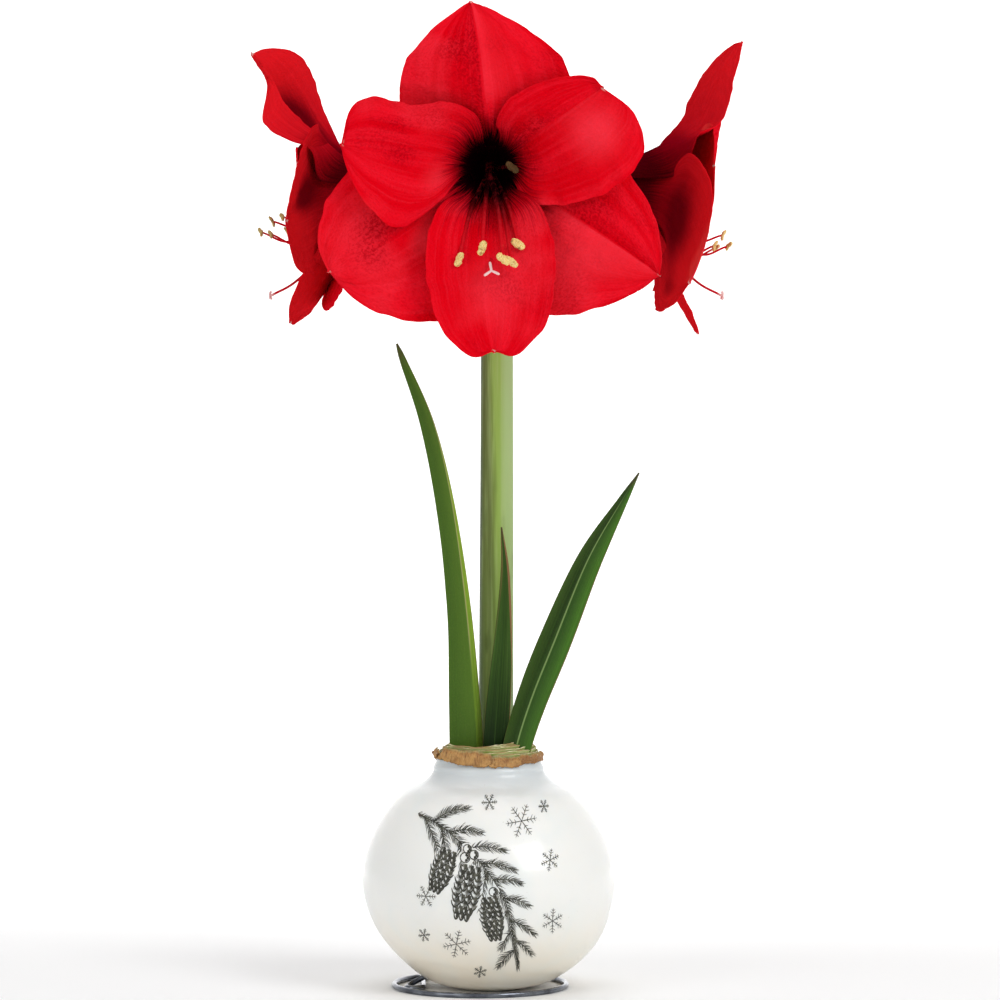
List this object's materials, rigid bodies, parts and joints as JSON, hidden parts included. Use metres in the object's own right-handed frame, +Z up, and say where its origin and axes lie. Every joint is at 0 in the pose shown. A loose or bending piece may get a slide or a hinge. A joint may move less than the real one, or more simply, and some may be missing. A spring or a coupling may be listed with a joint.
{
  "type": "flowering amaryllis in a waxed bulb",
  "caption": "Flowering amaryllis grown from a wax-dipped bulb on a bent-wire ring stand, with an upright scape, strap leaves and wide funnel blooms.",
  "frame": {"origin": "the middle of the small flat on the underside of the wax, on the surface that the object stands on, under the bulb's axis", "axes": "+Z up the scape, -Y out of the front of the bulb, the way the front bloom faces, +X to the right as seen from the front"},
  "size_m": [0.2038, 0.1607, 0.3902],
  "materials": {
    "steel": "gloss",
    "wax": "satin",
    "scales": "satin",
    "dry_tunic": "matte",
    "stem": "satin",
    "dry_bract": "matte",
    "foliage": "satin",
    "petal": "satin"
  },
  "bodies": {
    "root": {"wire_stand": "steel", "wax_coat": "wax", "bulb": "scales", "tunic": "dry_tunic", "flower_stalk": "stem", "spathe_left": "dry_bract", "spathe_right": "dry_bract", "leaf_left": "foliage", "leaf_middle": "foliage", "leaf_right": "foliage", "bloom_front": "petal", "bloom_left": "petal", "bloom_right": "petal"}
  },
  "joints": []
}
